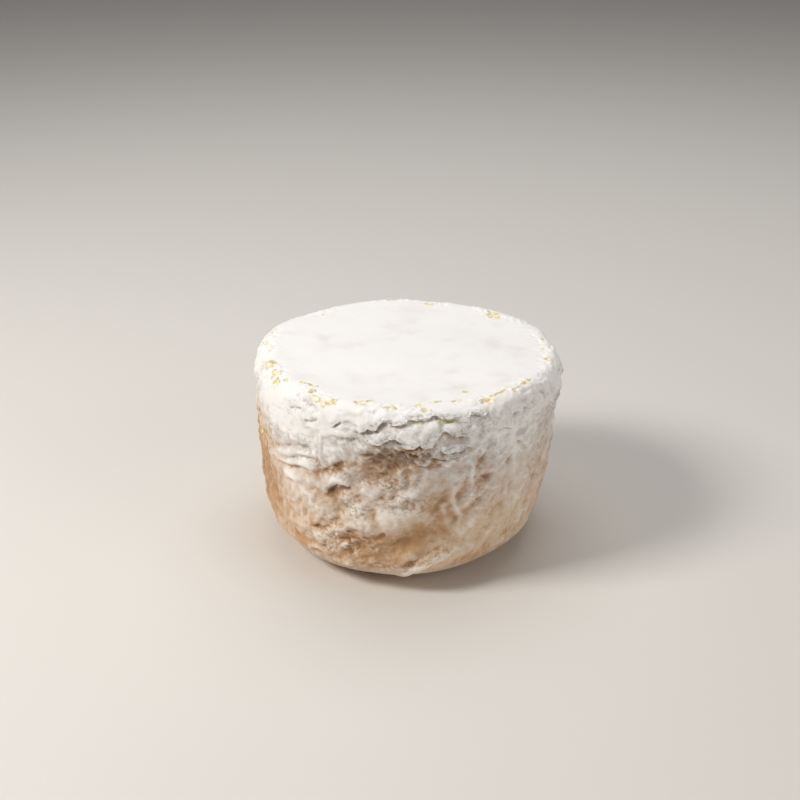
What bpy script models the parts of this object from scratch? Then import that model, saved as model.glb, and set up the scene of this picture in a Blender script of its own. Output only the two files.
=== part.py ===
"""A whole, uncut wheel of soft-ripened cheese in a white bloomy rind.

Units are metres and +Z is up. The wheel stands on its flat foot with the origin
on the ground under its middle, and its front looks along -Y.
"""

import math
from dataclasses import dataclass

import bmesh
import bpy
from mathutils import Vector, noise

# Driving dimensions of the wheel.
RIM_DIAMETER = 0.110
FOOT_DIAMETER = 0.1015
HEIGHT = 0.070

# The shoulder is a tight elliptical edge, and the foot is a wide, slumped one.
SHOULDER_INWARD = 0.0045
SHOULDER_DOWN = 0.0085
FOOT_INWARD = 0.0190
FOOT_UPWARD = 0.0150
BARREL_BULGE = 0.0012

# The young curd was turned out of its mould by hand, so the wheel leans a little
# towards +X and its plan is a soft triangle rather than a circle.
LEAN = 0.040
OVAL_SHARE = 0.006
THREE_LOBE_SHARE = 0.020
THREE_LOBE_AZIMUTH = math.radians(19.5)
PLATEAU_SAG = 0.0006

# Broad lumps of the rind, as (wavelength, height) pairs, fading out at the foot.
LUMPS = ((0.034, 0.0011), (0.017, 0.0005))
LUMP_SEED = Vector((4.7, 1.3, 8.1))
FADE_TOP = 0.009

# How finely the wheel is faceted.
STEPS_ROUND = 96
STEPS_PLATEAU = 5
STEPS_SHOULDER = 6
STEPS_SIDE = 10
STEPS_FOOT = 8

RIND_COLOUR = (0.86, 0.82, 0.75, 1.0)
RIND_ROUGHNESS = 0.85


@dataclass(frozen=True)
class Press:
    """A shallow pressed place on the side, or a swelling where its depth is negative.

    A tall one that reaches the plateau takes its edge along.
    """

    azimuth: float
    height: float
    half_width: float
    half_height: float
    depth: float

    def depth_at(self, azimuth, height):
        """How far the rind is pushed in at this place, in metres."""
        turn = math.remainder(azimuth - math.radians(self.azimuth), math.tau)
        across = turn / math.radians(self.half_width)
        up = (height - self.height) / self.half_height
        return self.depth * math.exp(-across * across - up * up)


# Azimuths are in degrees from +X, counter-clockwise from above.
PRESSES = (
    Press(azimuth=-6, height=0.046, half_width=34, half_height=0.0105, depth=0.0015),
    Press(azimuth=-8, height=0.062, half_width=30, half_height=0.0045, depth=-0.0009),
    Press(azimuth=-94, height=0.042, half_width=17, half_height=0.0080, depth=0.0016),
    Press(azimuth=-80, height=0.020, half_width=20, half_height=0.0080, depth=-0.0009),
    Press(azimuth=-150, height=0.030, half_width=22, half_height=0.0100, depth=0.0006),
    Press(azimuth=152, height=0.062, half_width=20, half_height=0.0080, depth=-0.0011),
    Press(azimuth=152, height=0.063, half_width=20, half_height=0.0350, depth=-0.0019),
    Press(azimuth=-93, height=0.007, half_width=24, half_height=0.0085, depth=-0.0015),
    Press(azimuth=62, height=0.044, half_width=24, half_height=0.0090, depth=0.0014),
    Press(azimuth=118, height=0.027, half_width=20, half_height=0.0080, depth=0.0012),
    Press(azimuth=95, height=0.060, half_width=26, half_height=0.0050, depth=-0.0009),
)


def clear_scene():
    """Removes every object, so that the file holds the wheel alone."""
    for obj in list(bpy.data.objects):
        bpy.data.objects.remove(obj)


def quarter_ellipse(centre, inward, upward, start, steps):
    """Points of a quarter ellipse in the XZ plane that turns clockwise from start, an angle."""
    points = []
    for step in range(steps + 1):
        angle = start - math.pi / 2 * step / steps
        x = centre[0] + inward * math.cos(angle)
        z = centre[1] + upward * math.sin(angle)
        points.append((x, z))
    return points


def side_radius(height):
    """Radius of the side between the shoulder and the foot, tapered and slightly barrelled."""
    low, high = FOOT_UPWARD, HEIGHT - SHOULDER_DOWN
    share = (height - low) / (high - low)
    taper = FOOT_DIAMETER / 2 + (RIM_DIAMETER - FOOT_DIAMETER) / 2 * share
    return taper + BARREL_BULGE * 4 * share * (1 - share)


def wheel_profile():
    """Half of the wheel's section, from the middle of its top, down its side, to the middle of its foot."""
    plateau = RIM_DIAMETER / 2 - SHOULDER_INWARD
    flat_foot = FOOT_DIAMETER / 2 - FOOT_INWARD
    points = [(plateau * step / STEPS_PLATEAU, HEIGHT) for step in range(STEPS_PLATEAU)]
    points += quarter_ellipse(
        (plateau, HEIGHT - SHOULDER_DOWN), SHOULDER_INWARD, SHOULDER_DOWN, math.pi / 2, STEPS_SHOULDER
    )
    side = HEIGHT - SHOULDER_DOWN - FOOT_UPWARD
    for step in range(1, STEPS_SIDE):
        height = HEIGHT - SHOULDER_DOWN - side * step / STEPS_SIDE
        points.append((side_radius(height), height))
    points += quarter_ellipse((flat_foot, FOOT_UPWARD), FOOT_INWARD, FOOT_UPWARD, 0, STEPS_FOOT)
    points.append((0, 0))
    return points


def turned_mesh(points):
    """The closed mesh that the profile sweeps round Z."""
    outline = bpy.data.meshes.new("wheel_outline")
    edges = [(index, index + 1) for index in range(len(points) - 1)]
    outline.from_pydata([(x, 0, z) for x, z in points], edges, [])
    blank = bpy.data.objects.new("wheel_blank", outline)
    bpy.context.scene.collection.objects.link(blank)
    screw = blank.modifiers.new("turn", "SCREW")
    screw.steps = screw.render_steps = STEPS_ROUND
    screw.use_merge_vertices = True
    screw.merge_threshold = 0.0001
    graph = bpy.context.evaluated_depsgraph_get()
    mesh = bpy.data.meshes.new_from_object(blank.evaluated_get(graph))
    bpy.data.objects.remove(blank)
    mesh.name = "cheese_wheel"
    return mesh


def eased(share):
    """Smooth step from 0 to 1."""
    share = min(max(share, 0.0), 1.0)
    return share * share * (3 - 2 * share)


def plan_factor(azimuth):
    """How the plan departs from a circle."""
    lobes = THREE_LOBE_SHARE * math.cos(3 * (azimuth - THREE_LOBE_AZIMUTH))
    return 1 + lobes + OVAL_SHARE * math.sin(-2 * azimuth)


def lump_height(point):
    """Height of the broad lumps at a point."""
    total = 0.0
    for wavelength, height in LUMPS:
        total += height * noise.noise(point / wavelength + LUMP_SEED)
    return total


def settled(point, normal):
    """Where a point of the turned blank ends up once the cheese has ripened and slumped."""
    azimuth = math.atan2(point.y, point.x)
    radius = math.hypot(point.x, point.y)
    above_foot = eased(point.z / FADE_TOP)
    factor = plan_factor(azimuth)
    moved = Vector((point.x * factor, point.y * factor, point.z))
    moved += normal * lump_height(point) * above_foot
    inward = sum(press.depth_at(azimuth, point.z) for press in PRESSES)
    inward *= above_foot * min(1.0, 2 * radius / RIM_DIAMETER)
    moved -= Vector((math.cos(azimuth), math.sin(azimuth), 0)) * inward
    moved.z -= PLATEAU_SAG * max(0.0, 1 - (2 * radius / RIM_DIAMETER) ** 2) * (point.z / HEIGHT) ** 4
    moved.x += LEAN * (point.z - HEIGHT / 2)
    return moved


def settle(mesh):
    """Moves every vertex of the turned blank to its settled place."""
    places = [settled(vertex.co, vertex.normal) for vertex in mesh.vertices]
    for vertex, place in zip(mesh.vertices, places):
        vertex.co = place


def centre_on_origin(mesh):
    """Slides the mesh so that the middle of its box, seen from above, is at the origin."""
    for axis in (0, 1):
        values = [vertex.co[axis] for vertex in mesh.vertices]
        middle = (min(values) + max(values)) / 2
        for vertex in mesh.vertices:
            vertex.co[axis] -= middle


def flatten_foot(mesh):
    """Makes the foot one flat face, and the normals point outwards."""
    work = bmesh.new()
    work.from_mesh(mesh)
    foot = [face for face in work.faces if all(abs(vertex.co.z) < 1e-7 for vertex in face.verts)]
    bmesh.ops.dissolve_faces(work, faces=foot, use_verts=False)
    bmesh.ops.recalc_face_normals(work, faces=work.faces)
    work.to_mesh(mesh)
    work.free()


def rind_material():
    """The matt ivory rind."""
    material = bpy.data.materials.new("rind")
    material.use_nodes = True
    shader = material.node_tree.nodes["Principled BSDF"]
    shader.inputs["Base Color"].default_value = RIND_COLOUR
    shader.inputs["Roughness"].default_value = RIND_ROUGHNESS
    shader.inputs["Metallic"].default_value = 0.0
    return material


def build_wheel(collection):
    """The wheel as one closed solid."""
    mesh = turned_mesh(wheel_profile())
    settle(mesh)
    centre_on_origin(mesh)
    flatten_foot(mesh)
    mesh.shade_smooth()
    mesh.materials.clear()
    mesh.materials.append(rind_material())
    wheel = bpy.data.objects.new("cheese_wheel", mesh)
    collection.objects.link(wheel)
    return wheel


def main():
    clear_scene()
    collection = bpy.data.collections.new("cheese_wheel")
    bpy.context.scene.collection.children.link(collection)
    build_wheel(collection)


main()
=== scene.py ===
"""The looks of a whole soft-ripened cheese wheel: a squat drum in a white, wrinkled bloomy rind.

Units are metres and +Z is up. The wheel stands on its foot and its front looks along -Y. Azimuths are
in degrees from +X, counter-clockwise from above, so the front is at -90 and the left of it at -150.
A share is a height over the wheel's own height; past 1 it goes on inwards over the plateau.
"""

import logging
import math
from collections.abc import Callable, Sequence
from dataclasses import dataclass, field
from enum import Enum

import bmesh
import bpy
import numpy as np
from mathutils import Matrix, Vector, kdtree


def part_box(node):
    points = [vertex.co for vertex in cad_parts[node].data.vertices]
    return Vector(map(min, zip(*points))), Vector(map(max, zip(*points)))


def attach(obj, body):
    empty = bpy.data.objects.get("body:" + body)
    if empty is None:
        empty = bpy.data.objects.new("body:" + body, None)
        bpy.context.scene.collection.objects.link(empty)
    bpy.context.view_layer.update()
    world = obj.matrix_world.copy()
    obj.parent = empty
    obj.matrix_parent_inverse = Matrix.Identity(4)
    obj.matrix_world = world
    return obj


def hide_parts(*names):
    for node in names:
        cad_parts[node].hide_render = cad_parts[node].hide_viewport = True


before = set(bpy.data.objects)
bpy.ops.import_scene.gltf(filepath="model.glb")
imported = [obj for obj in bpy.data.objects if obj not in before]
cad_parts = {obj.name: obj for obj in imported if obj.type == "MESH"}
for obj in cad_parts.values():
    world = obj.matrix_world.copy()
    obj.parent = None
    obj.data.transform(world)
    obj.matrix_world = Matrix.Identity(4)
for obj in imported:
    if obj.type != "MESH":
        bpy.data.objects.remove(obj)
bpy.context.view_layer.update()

NODE = "cheese_wheel"
MM = 0.001

# How many marks the back and the far sides get.
HIDDEN_LEDGES = 34
HIDDEN_FOLDS = 30
HIDDEN_DABS = 46
HIDDEN_WEAR = 26

Path = tuple[tuple[float, float], ...]
Colour = tuple[float, ...]
Values = np.ndarray
Piece = bpy.types.Object
Socket = bpy.types.NodeSocket
Inputs = dict[str | int, object]

log = logging.getLogger("cheese_wheel")


class Tool(Enum):
    """What a stroke over the soft rind leaves behind."""

    RIDGE = "a rounded fold"
    CREASE = "a sharp furrow"
    LEDGE = "a torn lip with a hollow under it"


class Coat(Enum):
    """The layers painted on the rind, each the name of an attribute of the mesh."""

    BLOOM = "bloom"
    # How deep a place lies, which gives the hollows their tan and their painted shade.
    HOLLOW = "hollow"
    PASTE = "paste"
    SHARE = "share"
    CRUMBLE = "crumble"


@dataclass(frozen=True)
class Stroke:
    """One stroke of the tool, along a path of (azimuth, share) spots, in millimetres across and deep."""

    path: Path
    width: float
    relief: float


@dataclass(frozen=True)
class Dab:
    """A round press into the rind, in millimetres, or a swelling where its depth is negative.

    In the tables of finishes its depth is a strength instead.
    """

    azimuth: float
    share: float
    across: float
    up: float
    depth: float
    lip: float = 0.0
    turn: float = 0.0


# Torn lips of the front, each from its left end to its right.
FRONT_LEDGES = (
    Stroke(((-109, 0.9), (-106, 0.9), (-104, 0.92), (-102, 0.915), (-99, 0.95), (-96, 0.94)), 1.9, 1.3),
    Stroke(
        ((-98, 0.93), (-93, 0.94), (-90, 0.96), (-84, 0.96), (-81, 0.98), (-79, 0.96), (-70, 0.95)),
        1.5,
        0.95,
    ),
    Stroke(((-104, 0.84), (-100, 0.85), (-98, 0.87), (-94, 0.875), (-91, 0.84)), 1.7, 1.2),
    Stroke(((-93, 0.83), (-88, 0.84), (-86, 0.865), (-85, 0.84), (-83, 0.835), (-81, 0.86)), 1.7, 1.35),
    Stroke(((-81.5, 0.85), (-80, 0.9), (-79, 0.915), (-76, 0.89), (-72, 0.88), (-68.5, 0.86)), 1.8, 1.35),
    Stroke(((-96, 0.815), (-92, 0.81), (-89, 0.79), (-86, 0.785)), 1.2, 1),
    Stroke(((-80, 0.81), (-77, 0.8), (-72, 0.8), (-70, 0.81), (-67, 0.8)), 1.3, 0.95),
    Stroke(((-83, 0.77), (-80, 0.76), (-76, 0.76), (-72, 0.77)), 1.2, 0.85),
    Stroke(((-92, 0.77), (-89, 0.76), (-86, 0.73), (-82, 0.73)), 1.2, 0.35),
    Stroke(((-69, 0.94), (-68, 0.96), (-65, 0.95), (-63, 0.94), (-61, 0.955)), 1.4, 1),
    Stroke(((-98, 0.975), (-92, 0.97)), 1, 0.4),
    Stroke(((-139, 0.91), (-135, 0.92), (-132, 0.94)), 1.3, 0.74),
    Stroke(((-133, 0.96), (-130, 0.97), (-125, 0.96), (-122, 0.94)), 1.2, 0.74),
    Stroke(((-131, 0.88), (-127, 0.89), (-123, 0.92)), 1.1, 0.74),
    Stroke(((-118, 0.89), (-116, 0.91), (-114, 0.93)), 1.1, 0.95),
    Stroke(((-114, 0.85), (-110, 0.86), (-107, 0.85)), 1, 0.5),
    Stroke(((-151, 0.86), (-146, 0.87), (-141, 0.87)), 1, 0.35),
    Stroke(
        ((-122.5, 0.5), (-121, 0.54), (-118, 0.585), (-115.5, 0.605), (-113, 0.6), (-110, 0.57)), 1.8, 1.3,
    ),
    Stroke(((-129, 0.315), (-125, 0.33), (-121, 0.335)), 1.2, 0.25),
    Stroke(((-115, 0.33), (-110, 0.325), (-104, 0.305), (-96, 0.31)), 1.4, -0.55),
    Stroke(((-64, 0.62), (-62, 0.6), (-58, 0.58)), 1.2, -0.75),
    Stroke(((-47, 0.76), (-43, 0.72), (-39, 0.67)), 1.7, 0.6),
    Stroke(((-58, 0.85), (-54, 0.855), (-49, 0.83)), 1.1, 0.65),
    Stroke(((-52, 0.95), (-46, 0.96), (-41, 0.945)), 1, 0.4),
    Stroke(((-39, 0.96), (-34, 0.95), (-30, 0.93)), 1, 0.5),
)

# Sharp furrows of the front.
FRONT_CREASES = (
    Stroke(((-153, 0.635), (-147, 0.65), (-140, 0.69), (-132, 0.72), (-124, 0.735)), 1, 1.15),
    Stroke(((-155, 0.59), (-149, 0.6), (-142, 0.61), (-132, 0.67), (-125, 0.68), (-118, 0.66)), 0.9, 1.35),
    Stroke(((-153, 0.545), (-147, 0.56), (-138, 0.58), (-133, 0.6), (-124, 0.6)), 1, 1.15),
    Stroke(((-148, 0.5), (-139, 0.5), (-131, 0.515), (-126, 0.48)), 1.3, 0.85),
    Stroke(((-128, 0.59), (-123, 0.63), (-118, 0.67), (-114, 0.7), (-109, 0.71)), 1.3, 1.15),
    Stroke(((-94, 0.8), (-90, 0.815), (-86, 0.82)), 1.2, 1.3),
    Stroke(((-167, 0.62), (-160, 0.655), (-154, 0.645), (-150, 0.62)), 1.3, 0.8),
    Stroke(((-160, 0.56), (-154, 0.5), (-150, 0.43)), 1.5, 0.6),
    Stroke(((-157, 0.4), (-151, 0.33), (-149, 0.25)), 1.6, 0.5),
    Stroke(((-139, 0.42), (-133, 0.41), (-128, 0.36)), 1.4, 0.5),
    Stroke(((-103.5, 0.52), (-102, 0.43), (-101, 0.36)), 1.9, 0.6),
    Stroke(((-96, 0.15), (-91, 0.165), (-86, 0.205), (-81, 0.245), (-75, 0.275)), 1.4, 1.1),
    Stroke(((-69, 0.71), (-68.5, 0.6)), 0.9, 0.4),
    Stroke(((-66, 0.7), (-65, 0.62)), 0.9, 0.4),
    Stroke(((-73, 0.57), (-72, 0.5), (-69.5, 0.44)), 1.6, 0.6),
    Stroke(((-80, 0.39), (-76, 0.34), (-71, 0.29)), 0.8, 0.45),
    Stroke(((-82, 0.355), (-78, 0.31), (-73, 0.265)), 0.8, 0.45),
    Stroke(((-83, 0.31), (-79, 0.275), (-75, 0.245)), 0.8, 0.4),
)

# Rounded folds of the front.
FRONT_RIDGES = (
    Stroke(((-152, 0.61), (-145, 0.64), (-137, 0.665), (-130, 0.695), (-121, 0.7)), 1.3, 0.9),
    Stroke(((-154, 0.56), (-148, 0.58), (-141, 0.6), (-133, 0.635), (-126, 0.635), (-119, 0.66)), 1.6, 1),
    Stroke(((-152, 0.52), (-145, 0.535), (-137, 0.545), (-130, 0.56), (-122, 0.555)), 1.4, 0.75),
    Stroke(((-147, 0.53), (-141, 0.54), (-134, 0.525), (-128, 0.47), (-120, 0.37)), 1.5, 0.8),
    Stroke(((-139, 0.75), (-135, 0.755), (-130, 0.755), (-126, 0.74)), 1.3, 0.5),
    Stroke(((-123, 0.49), (-121.5, 0.55), (-118, 0.6), (-115, 0.62), (-112, 0.6), (-109, 0.56)), 1.2, 0.8),
    Stroke(((-169, 0.93), (-160, 0.92), (-156, 0.87), (-152, 0.84)), 1.4, 0.45),
    Stroke(((-101, 0.86), (-105, 0.8), (-107, 0.74)), 1.7, 0.65),
    Stroke(((-95, 0.71), (-92, 0.64), (-94, 0.58)), 1.4, 0.6),
    Stroke(((-98, 0.5), (-93, 0.54), (-89, 0.57), (-83, 0.63)), 2, 1.25),
    Stroke(((-91, 0.42), (-86, 0.49), (-82, 0.57)), 2.2, 0.6),
    Stroke(((-81, 0.54), (-77, 0.46), (-75.5, 0.37)), 1.1, 0.7),
    Stroke(((-68, 0.74), (-66, 0.67), (-63.5, 0.6)), 1, 0.75),
    Stroke(((-72, 0.61), (-68, 0.545), (-63, 0.52), (-57, 0.51)), 0.9, 0.55),
    Stroke(((-73, 0.63), (-74, 0.54), (-73, 0.48), (-71, 0.42), (-72, 0.36), (-70, 0.25)), 1, 1.05),
    Stroke(((-69, 0.79), (-68, 0.7), (-67.5, 0.62), (-67, 0.52)), 1.2, 1.1),
    Stroke(((-57, 0.74), (-56.5, 0.66), (-56, 0.58)), 1.4, 0.5),
    Stroke(((-57, 0.5), (-56, 0.39)), 1.4, 0.35),
    Stroke(((-99, 0.105), (-92, 0.115), (-86, 0.16), (-80, 0.205), (-70, 0.25)), 1.9, 1.55),
    Stroke(((-121, 0.16), (-114, 0.15), (-106, 0.17), (-98, 0.155)), 1.8, 0.6),
)

# Hollows of the front, and swellings.
FRONT_DABS = (
    Dab(-95, 0.745, 11.5, 4.8, 1.8), Dab(-100, 0.68, 7, 3.4, 0.8), Dab(-75, 0.85, 4.6, 2, 1),
    Dab(-100, 0.645, 4.2, 1.4, 0.55, 0.15), Dab(-91, 0.64, 1.7, 2.8, 0.5),
    Dab(-110, 0.54, 3.2, 1.3, 0.5), Dab(-118.5, 0.515, 4.2, 3, 1.2, 0.1, 35),
    Dab(-126, 0.52, 1.5, 0.9, 0.6, 0.2), Dab(-88, 0.33, 11, 5.4, 1.4, 0, 22),
    Dab(-79, 0.49, 3.4, 3.4, 0.7), Dab(-125, 0.315, 3.4, 1.2, 0.7), Dab(-111, 0.3, 4.2, 2, 0.6),
    Dab(-124, 0.25, 3.8, 2.3, -1), Dab(-107, 0.39, 5.6, 4.4, -0.9), Dab(-107, 0.49, 4.4, 2.6, -0.6),
    Dab(-97, 0.42, 6.4, 5.2, -1.3), Dab(-102, 0.56, 3.6, 1.6, -0.6), Dab(-76, 0.72, 2.2, 1.5, -0.7),
    Dab(-63, 0.695, 3.4, 2.8, 1.1, 0.1), Dab(-60.5, 0.605, 3.4, 1.6, 0.9, 0.1),
    Dab(-48, 0.5, 2.2, 1.8, 0.6, 0.25), Dab(-50, 0.65, 1.6, 2.2, 0.9, 0.15),
    Dab(-42, 0.9, 1.7, 0.9, 1.4), Dab(-48, 0.895, 2, 0.9, 1.3), Dab(-32, 0.945, 1.3, 0.8, 1.1),
    Dab(-38, 0.92, 1.6, 0.8, 1.1), Dab(-41, 0.975, 1.4, 0.8, 1), Dab(-37, 0.84, 1.8, 0.9, 0.6),
    Dab(-44, 0.795, 2.4, 1.2, 0.9), Dab(-54, 0.8, 3.2, 1.2, 0.8), Dab(-58, 0.37, 4.2, 3, -0.6),
    Dab(-67, 0.37, 3.2, 2.6, -0.5), Dab(-64, 0.22, 4, 2.6, -0.5), Dab(-139, 0.945, 3.4, 1.4, -0.7),
    Dab(-146, 0.8, 8, 5, -0.6),
)

# Where the rind lies calm; the depth is how calm, from 0 to 1.
CALM = (
    Dab(-150, 0.85, 14, 9, 0.95), Dab(-137, 0.61, 11, 7, 0.75), Dab(-135, 0.83, 9, 5, 0.85),
    Dab(-60, 0.28, 20, 13, 0.55), Dab(-42, 0.58, 13, 22, 0.6), Dab(-96, 0.42, 7, 5, 0.8),
    Dab(-62, 0.67, 6, 8, 0.75), Dab(-107, 0.44, 4, 5, 0.5), Dab(-152, 0.32, 11, 13, 0.6),
    Dab(-80, 0.4, 10, 12, 0.55), Dab(20, 0.45, 18, 16, 0.6), Dab(75, 0.25, 22, 10, 0.7),
    Dab(140, 0.75, 16, 9, 0.8),
)

# Where the skin is finely crumbled; the depth is how much, from 0 to 1.
CRUMBLED = (
    Dab(-118, 0.66, 9, 2.4, 0.9), Dab(-98, 0.63, 10, 3, 0.9), Dab(-88, 0.77, 16, 4, 0.9),
    Dab(-114, 0.27, 14, 6, 1.1), Dab(-119, 0.37, 7, 4, 0.6), Dab(-104, 0.17, 12, 3, 0.6),
    Dab(-84, 0.2, 13, 2, 0.6, 0, 20), Dab(-42, 0.9, 10, 4, 0.4), Dab(-100, 0.84, 16, 5, 0.6),
    Dab(-66, 0.9, 16, 3.5, 0.6), Dab(-110, 0.47, 7, 6, 0.75), Dab(-93, 0.52, 10, 4, 0.75),
    Dab(0, 0.8, 16, 4, 0.8), Dab(28, 0.62, 12, 5, 0.7), Dab(70, 0.86, 20, 4, 0.8),
    Dab(88, 0.44, 12, 6, 0.8), Dab(122, 0.66, 16, 4, 0.7), Dab(150, 0.25, 14, 6, 0.8),
    Dab(172, 0.82, 12, 4, 0.7),
)

# Where the bloom grew thickest; the depth is how much is added.
THICK = (
    Dab(-146, 0.83, 12, 7, 0.55), Dab(-132, 0.85, 8, 5, 0.35), Dab(-135, 0.668, 12, 1.4, 0.6, 0, 12),
    Dab(-134, 0.62, 13, 1.9, 0.7, 0, 11), Dab(-135, 0.55, 11, 1.6, 0.5, 0, 4),
    Dab(-130, 0.465, 10, 1.7, 0.5, 0, -34), Dab(-118, 0.61, 5.5, 1.7, 0.4),
    Dab(-107, 0.39, 6.5, 5.2, 0.45), Dab(-107, 0.49, 5.5, 3.2, 0.35), Dab(-96, 0.43, 7.5, 6, 0.5),
    Dab(-88, 0.585, 6, 2.8, 0.4, 0, 25), Dab(-102, 0.56, 4, 2, 0.35), Dab(-124, 0.25, 4, 2.4, 0.5),
    Dab(-83, 0.175, 14, 1.7, 0.7, 0, 20), Dab(-56, 0.88, 7, 5, 0.35), Dab(-68, 0.66, 1.4, 9, 0.5),
    Dab(-57, 0.6, 2, 7, 0.3), Dab(-50, 0.7, 11, 9, 0.35), Dab(-69, 0.33, 3, 7, 0.25),
    Dab(-38, 0.4, 8, 12, 0.25), Dab(5, 0.62, 12, 4, 0.5), Dab(40, 0.45, 10, 7, 0.6),
    Dab(84, 0.68, 14, 4, 0.5), Dab(112, 0.5, 8, 6, 0.5), Dab(165, 0.6, 12, 5, 0.6),
)

# Where the bloom lies thin and grey; the depth is how much is missing.
ASHEN = (
    Dab(-82, 0.88, 16, 4, 0.22), Dab(-72, 0.8, 9, 4, 0.15), Dab(-62, 0.88, 12, 4, 0.15),
    Dab(-10, 0.8, 18, 5, 0.3), Dab(44, 0.84, 16, 4, 0.35), Dab(98, 0.82, 18, 5, 0.3),
    Dab(148, 0.88, 12, 4, 0.25),
)

# Beige stretches of skin with little bloom, partly painted shade: on the front's presses they darken the
# hollows, and at -172 and -156 they are painted warm shade; the depth is how little bloom is left, from 0 to
# 1.
BARE_SKIN_AND_SHADE = (
    Dab(-95, 0.745, 12.5, 5.6, 0.95), Dab(-90, 0.81, 5, 1.4, 1.2), Dab(-101, 0.66, 8, 3, 0.5),
    Dab(-117, 0.665, 9, 1.4, 0.8, 0, 25), Dab(-118, 0.51, 3.8, 2.8, 0.6),
    Dab(-110, 0.54, 4.5, 1.6, 0.4), Dab(-102.5, 0.42, 1.8, 4.5, 0.35),
    Dab(-88, 0.32, 11, 5.5, 0.75, 0, 22), Dab(-78, 0.48, 6, 7, 0.45), Dab(-77, 0.38, 7, 8, 0.35),
    Dab(-125, 0.315, 4, 1.4, 0.55), Dab(-111, 0.3, 6, 2.4, 0.45), Dab(-104, 0.2, 12, 3.5, 0.45),
    Dab(-63, 0.7, 5, 4.4, 0.4), Dab(-60.5, 0.61, 4, 2, 0.3), Dab(-48, 0.5, 2.4, 2, 0.35),
    Dab(-50, 0.65, 2, 2.5, 0.2), Dab(-172, 0.42, 17, 20, 1.15), Dab(-156, 0.33, 10, 15, 0.65),
    Dab(-142, 0.18, 14, 5, 0.4), Dab(-66, 0.14, 14, 4, 0.35), Dab(10, 0.4, 20, 12, 0.6),
    Dab(62, 0.62, 12, 7, 0.7), Dab(110, 0.3, 18, 10, 0.6), Dab(158, 0.45, 14, 9, 0.6),
)

# Where the skin is warm and brown although it lies high up: partly its own tone, partly painted warm shade
# at the far left and in the pits under the lips; the depth is how warm, from 0 to 1.
WARM = (
    Dab(-90, 0.81, 5, 1.3, 1.3), Dab(-75, 0.875, 4, 1, 1.1), Dab(-96, 0.7, 9, 2.5, 0.3),
    Dab(-117, 0.665, 9, 2, 0.4, 0, 25), Dab(-170, 0.6, 15, 13, 1.15), Dab(66, 0.6, 12, 6, 0.8),
)

# Where the bloom is rubbed off and the yellow paste shows; the depth is how far, from 0 to about 1.
FRONT_WEAR = (
    Dab(-166, 1, 2.6, 3, 1), Dab(-156, 1, 3, 2.6, 0.9), Dab(-151, 0.97, 2.4, 1.8, 0.9),
    Dab(-147, 1.02, 1.8, 1.6, 0.8), Dab(-140, 1.06, 2.2, 1, 0.8), Dab(-135, 1.08, 2.2, 1.3, 0.9),
    Dab(-131, 1.03, 1.5, 1.8, 1), Dab(-127, 0.995, 2.6, 1.1, 1.2), Dab(-122, 0.985, 2.6, 1.3, 1.3),
    Dab(-125, 0.985, 4.5, 0.8, 1), Dab(-119, 1.01, 1.5, 1.9, 1.1), Dab(-109, 1.05, 2.4, 2, 0.8),
    Dab(-106, 1.08, 1.8, 1.4, 0.8), Dab(-97, 1.03, 3.2, 0.8, 0.8), Dab(-86, 1.06, 2.2, 1.4, 0.9),
    Dab(-84, 1.01, 1.9, 1.5, 1), Dab(-79, 1.09, 3.2, 0.7, 0.8), Dab(-71, 1.07, 2.5, 0.8, 0.8),
    Dab(-62, 1.15, 2, 1.4, 0.7), Dab(-59, 1.01, 3, 2, 1.2), Dab(-51, 1.035, 4.5, 0.9, 0.9),
    Dab(-44, 1.01, 2.4, 1.3, 1), Dab(-37, 1.025, 4, 0.9, 0.9), Dab(-164, 0.64, 1.4, 2.4, 0.62),
    Dab(-88, 0.945, 4.2, 0.7, 0.7), Dab(-77, 0.94, 4.2, 0.8, 0.7), Dab(-104, 0.885, 3.2, 0.7, 0.5),
    Dab(172, 1, 2.6, 1.2, 0.9), Dab(160, 1.02, 2.2, 1, 0.8),
)


def tint(red: int, green: int, blue: int) -> Colour:
    """A colour for a shader.

    Args:
        red: Red as a screen shows it, 0 to 255.
        green: Green in the same way.
        blue: Blue in the same way.

    Returns:
        The linear colour with full alpha.
    """
    linear = []
    for value in (red, green, blue):
        value /= 255
        linear.append(value / 12.92 if value <= 0.04045 else ((value + 0.055) / 1.055) ** 2.4)
    return (*linear, 1.0)


def ease(low: float, high: float, values: Values) -> Values:
    """A smooth climb.

    Args:
        low: Where the climb starts.
        high: Where it ends; it may lie below low, for a fall.
        values: Where to read it.

    Returns:
        0 before low, 1 after high, and a smooth step between them.
    """
    part = np.clip((values - low) / (high - low), 0, 1)
    return part * part * (3 - 2 * part)


def unit(rows: Values) -> Values:
    """The rows, each brought to a length of one."""
    return rows / np.linalg.norm(rows, axis=1, keepdims=True)


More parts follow.
